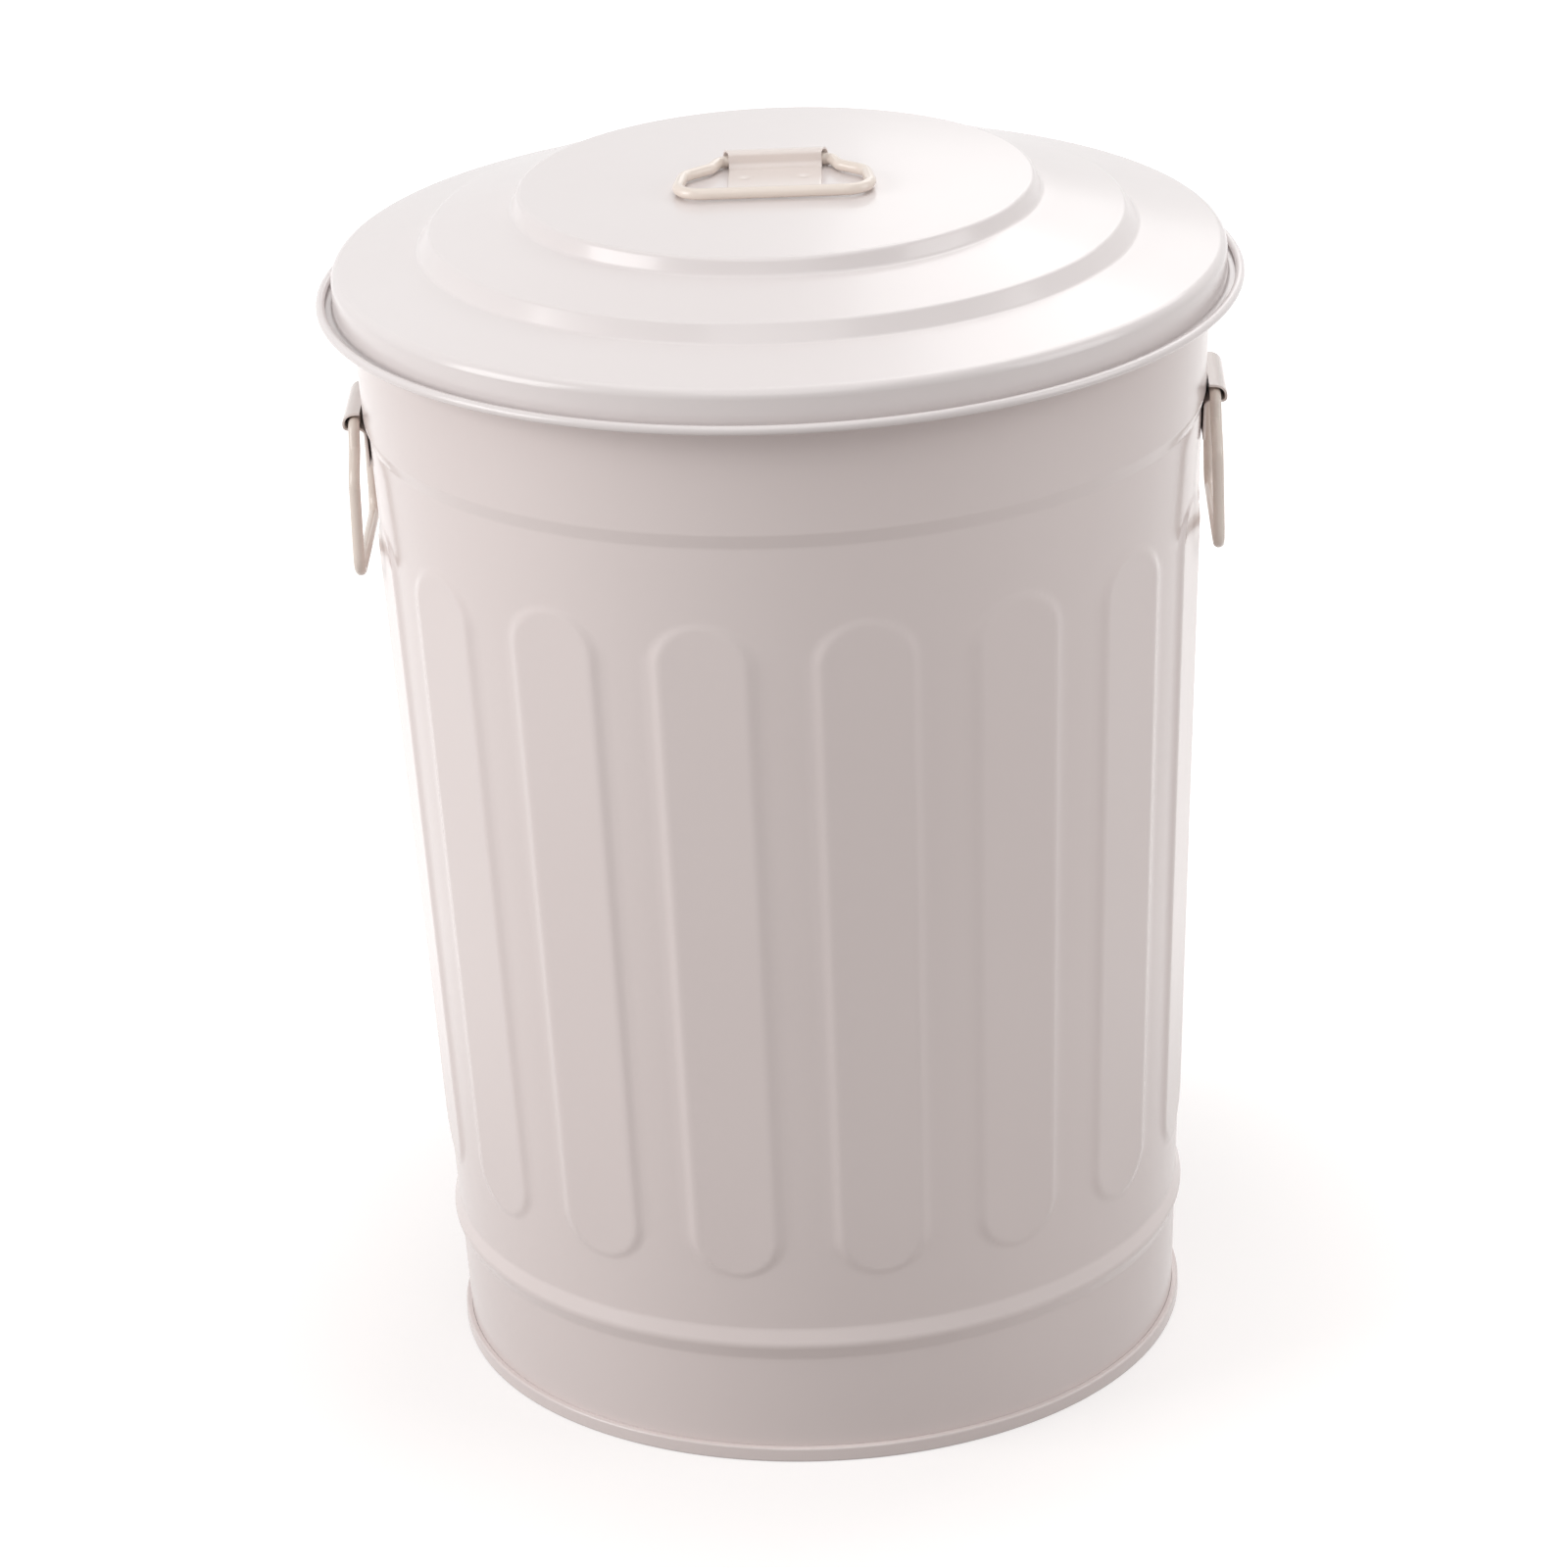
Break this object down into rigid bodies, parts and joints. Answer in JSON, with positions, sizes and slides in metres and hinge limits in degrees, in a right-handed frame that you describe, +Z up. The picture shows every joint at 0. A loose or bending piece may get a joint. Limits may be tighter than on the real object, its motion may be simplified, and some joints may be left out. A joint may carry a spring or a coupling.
{
  "type": "galvanized trash can with lid",
  "caption": "Tapered round steel trash can with pressed wall panels, a stacking step and wire bail handles, closed by a stepped lift-off lid with its own bail.",
  "frame": {"origin": "centre of the ring that the can stands on, at floor level", "axes": "+Z up along the can's axis, -Y to the front with the lock seam at the back, side bails on the X axis"},
  "size_m": [0.44, 0.44, 0.6001],
  "materials": {
    "painted_sheet": "glossy ivory powder coat",
    "painted_fittings": "glossy ivory powder coat",
    "painted_wire": "glossy ivory powder coat",
    "bare_wire": "plain zinc-plated steel wire"
  },
  "bodies": {
    "can": {"body_shell": "painted_sheet", "body_rim_wire": "bare_wire", "base_pan": "painted_sheet", "left_bracket": "painted_fittings", "right_bracket": "painted_fittings"},
    "lid": {"lid_shell": "painted_sheet", "lid_bracket": "painted_fittings"},
    "lid_handle": {"lid_bail": "painted_wire"},
    "left_handle": {"left_bail": "painted_wire"},
    "right_handle": {"right_bail": "painted_wire"}
  },
  "joints": [
    {"name": "lid_lift", "type": "slide", "parent": "can", "child": "lid", "axis": [0, 0, 1], "range_m": [0, 0.12]},
    {"name": "lid_bail_swing", "type": "hinge", "parent": "lid", "child": "lid_handle", "pos_m": [0, 0.01295, 0.59265], "axis": [-1, 0, 0], "range_deg": [0, 175]},
    {"name": "left_bail_swing", "type": "hinge", "parent": "can", "child": "left_handle", "pos_m": [-0.20434, 0, 0.48112], "axis": [0, 1, 0], "range_deg": [-3, 150]},
    {"name": "right_bail_swing", "type": "hinge", "parent": "can", "child": "right_handle", "pos_m": [0.20434, 0, 0.48112], "axis": [0, -1, 0], "range_deg": [-3, 150]}
  ]
}
